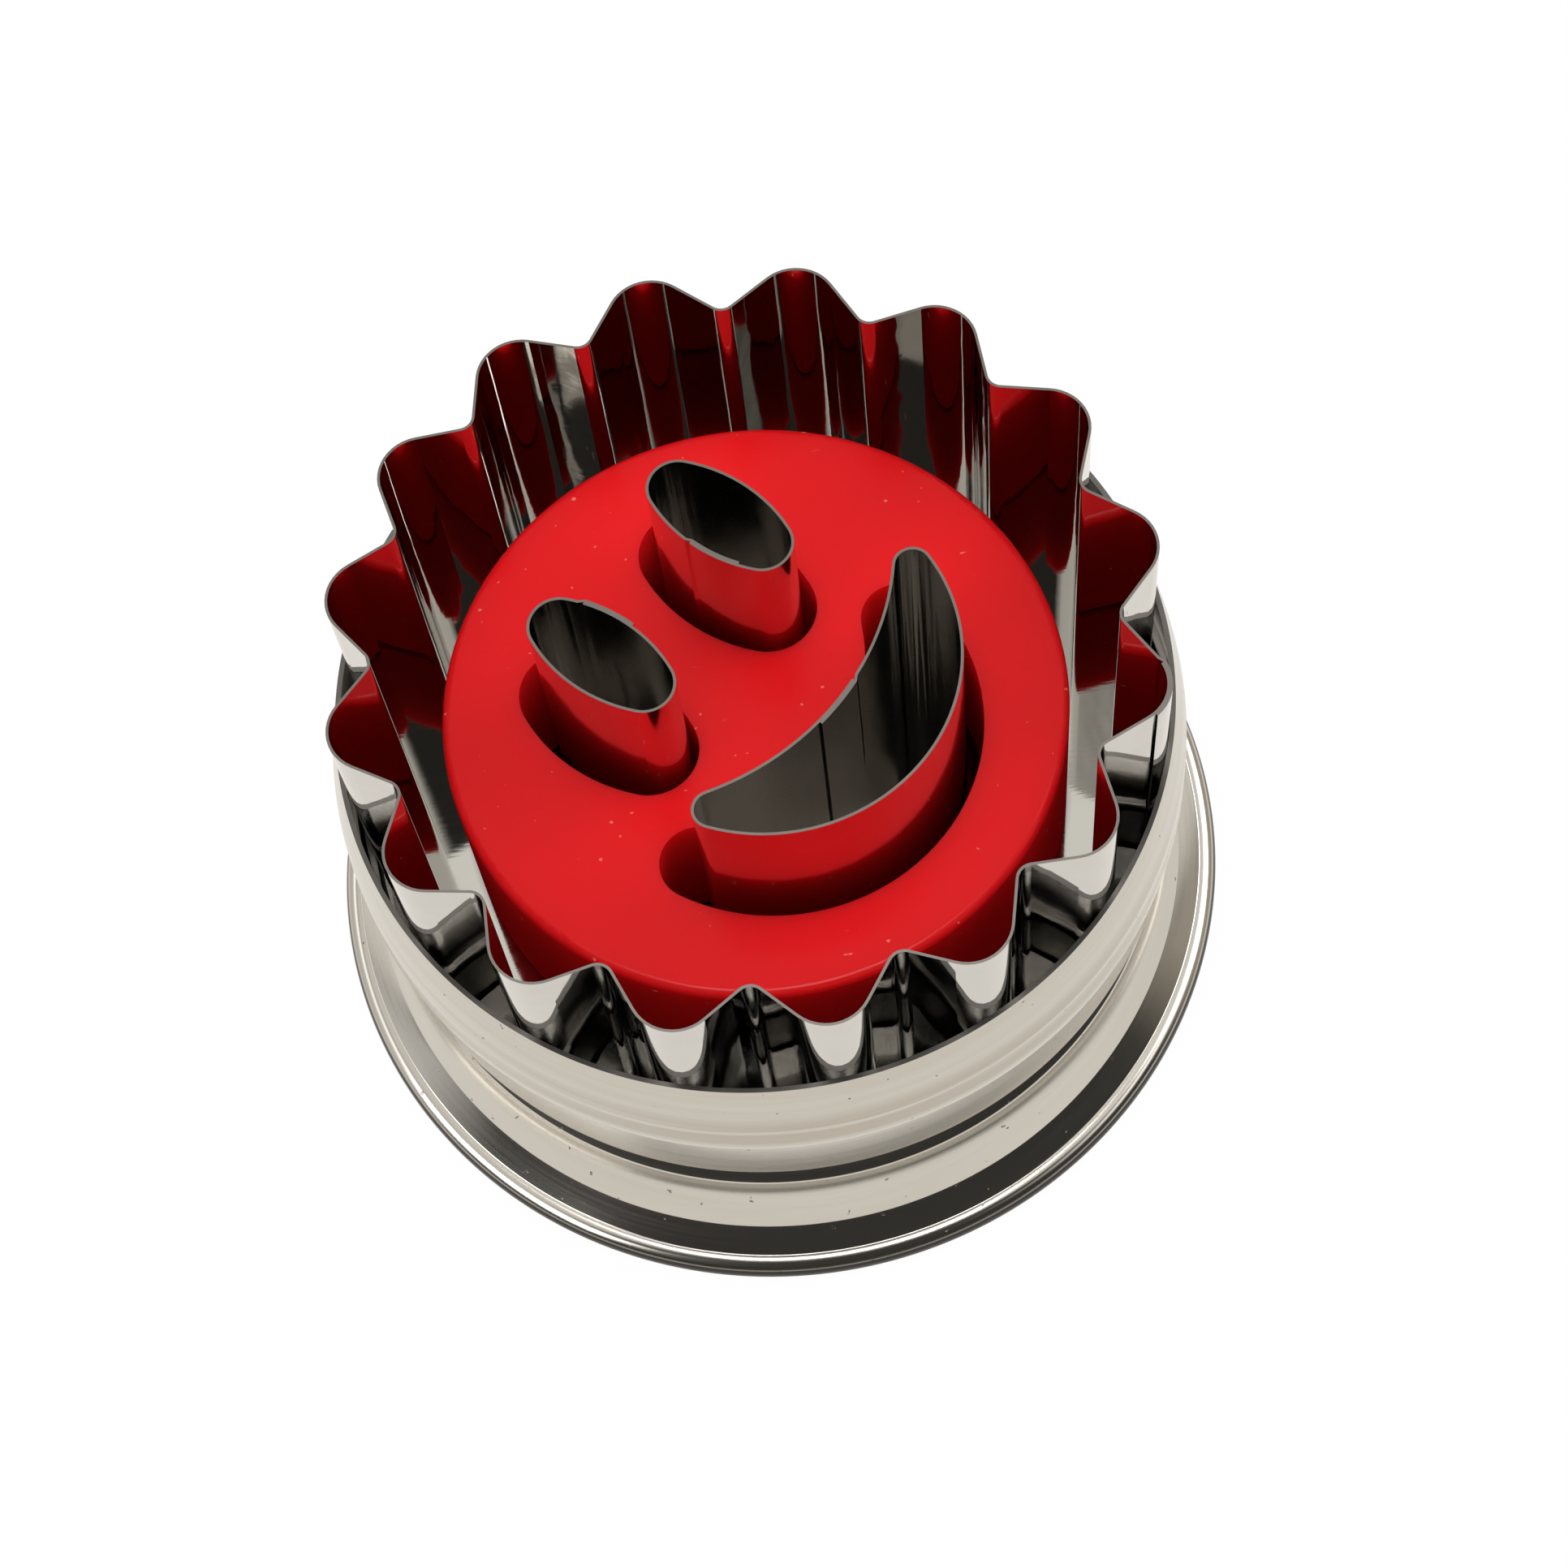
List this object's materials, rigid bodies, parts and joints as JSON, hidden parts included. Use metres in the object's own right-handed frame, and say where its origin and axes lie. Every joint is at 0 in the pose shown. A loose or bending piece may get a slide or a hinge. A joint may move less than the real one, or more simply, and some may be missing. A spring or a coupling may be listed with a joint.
{
  "type": "linzer cookie cutter",
  "caption": "Round scalloped cookie cutter with oval and crescent inner cutters, a flanged steel sleeve as its grip and a sprung push-out disc.",
  "frame": {"origin": "centre of the circle on which the rolled flange stands", "axes": "+Z along the axis to the cutting edges, +X to the right as the picture shows it"},
  "size_m": [0.0568, 0.0568, 0.0335],
  "materials": {
    "sleeve_steel": "polished stainless sheet, raw rim",
    "strip_steel": "bright stainless strip",
    "plate_steel": "mill finish",
    "red_plastic": "glossy moulded",
    "spring_steel": "drawn wire"
  },
  "bodies": {
    "cutter": {"handle_sleeve": "sleeve_steel", "cutter_ring": "strip_steel", "base_plate": "plate_steel", "right_eye_cutter": "strip_steel", "left_eye_cutter": "strip_steel", "mouth_cutter": "strip_steel", "return_spring": "spring_steel"},
    "ejector": {"ejector_disc": "red_plastic", "push_plate": "red_plastic"}
  },
  "joints": [
    {"name": "eject", "type": "slide", "parent": "cutter", "child": "ejector", "axis": [0, 0, 1], "range_m": [0, 0.00925], "stiffness_N_per_m": 400, "springref_m": -0.006, "deforming": ["return_spring"]}
  ]
}
